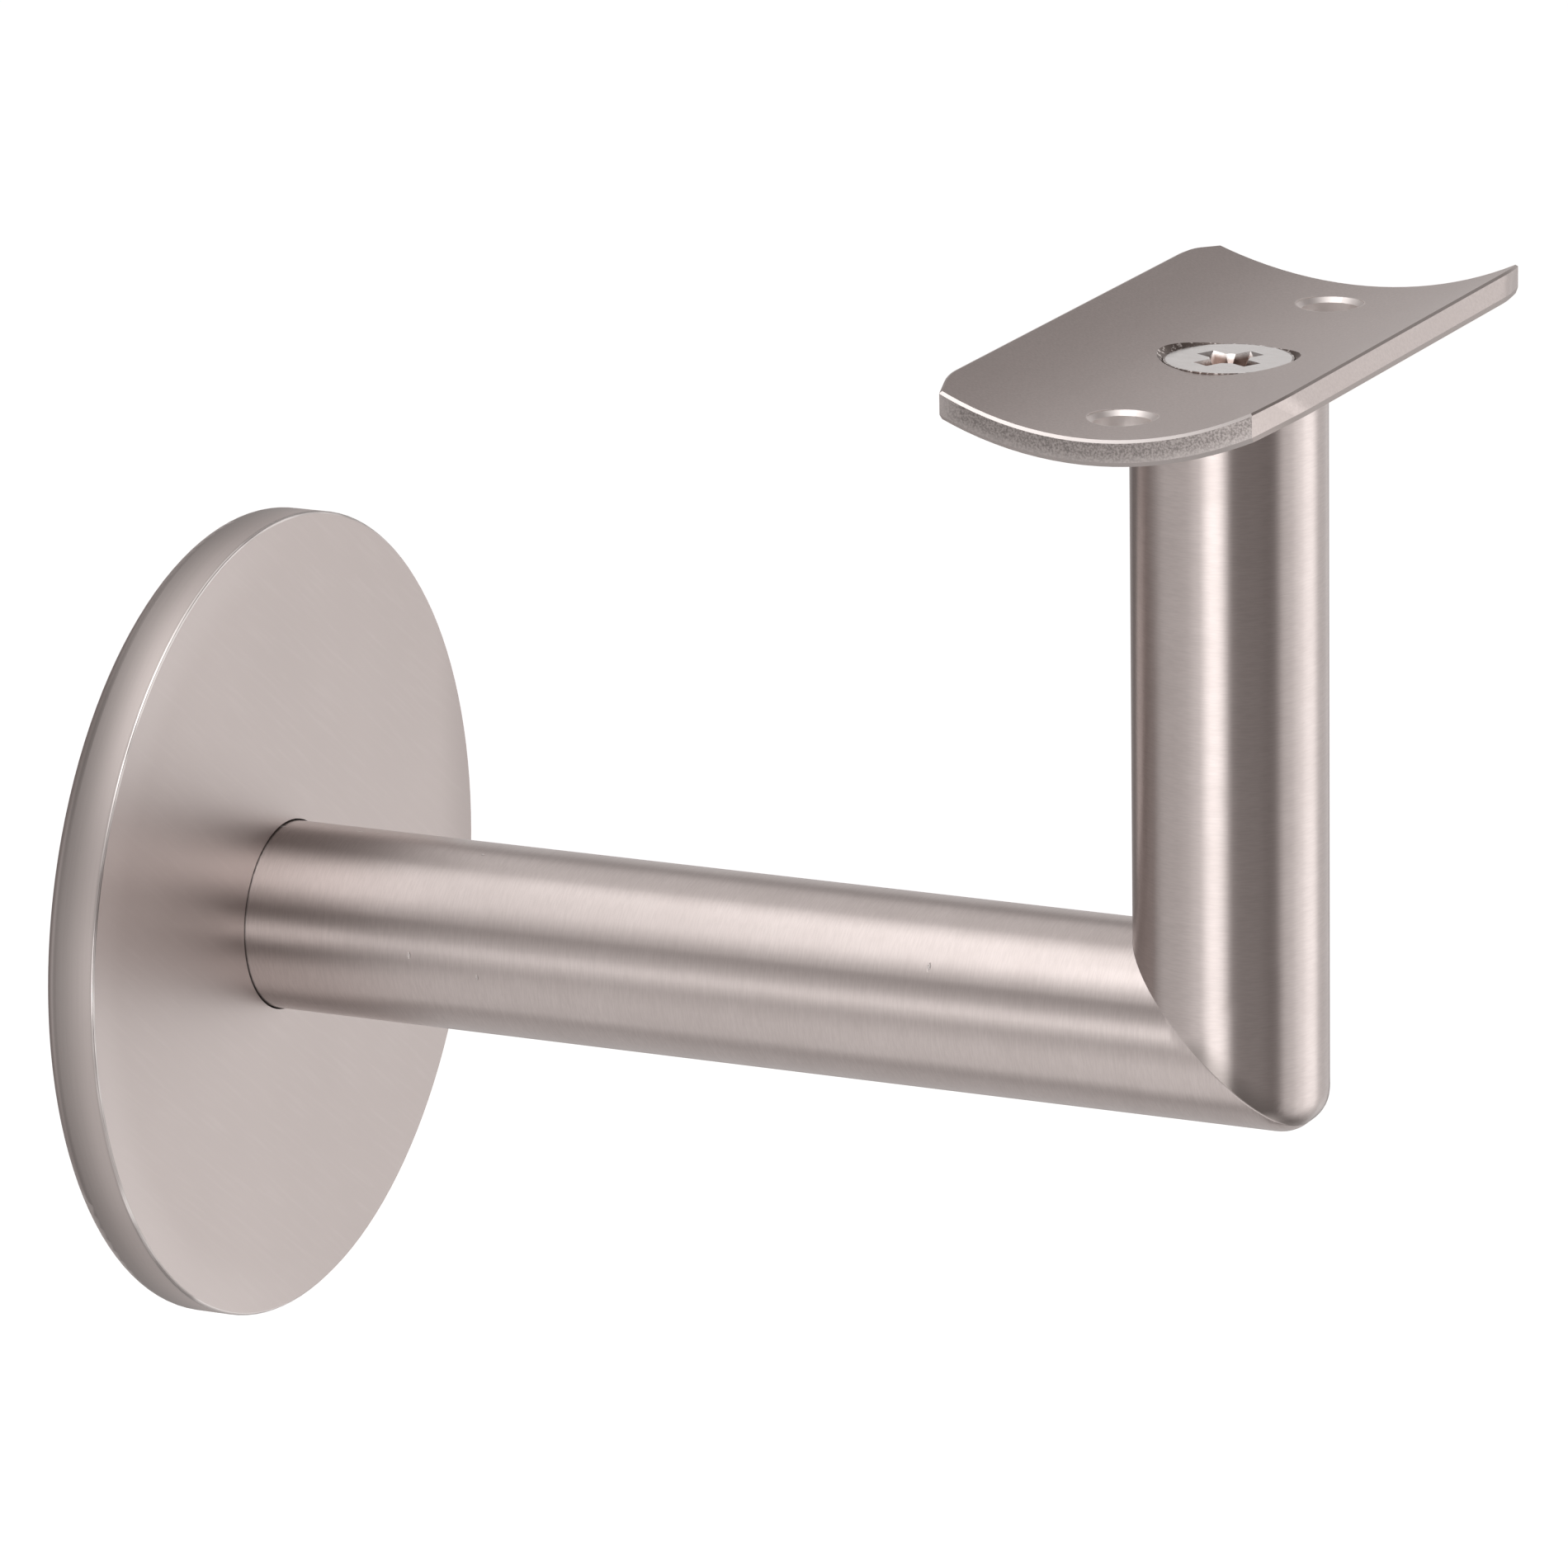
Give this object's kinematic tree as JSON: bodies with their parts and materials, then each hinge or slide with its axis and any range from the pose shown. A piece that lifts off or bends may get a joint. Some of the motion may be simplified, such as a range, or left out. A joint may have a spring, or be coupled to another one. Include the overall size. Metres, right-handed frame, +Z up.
{
  "type": "handrail bracket",
  "caption": "Wall bracket for a handrail: a flat round rosette, a mitred round rod that runs out and up, and a curved saddle plate screwed on top for the rail.",
  "frame": {"origin": "centre of the rosette's back face, on the wall and on the axis of the arm", "axes": "+Z up along the post, +Y into the wall so the arm runs out along -Y, X along the rail"},
  "size_m": [0.06, 0.0937, 0.0818],
  "materials": {
    "brushed_rod": "satin nickel, fine brushed grain across the rod",
    "satin_rosette": "fine matt nickel, finely brushed rim",
    "blasted_saddle": "bead-blasted nickel with polished edges",
    "bright_screw": "bright nickel"
  },
  "bodies": {
    "root": {"bracket_arm": "brushed_rod", "wall_rosette": "satin_rosette", "rail_saddle": "blasted_saddle", "saddle_screw": "bright_screw"}
  },
  "joints": []
}
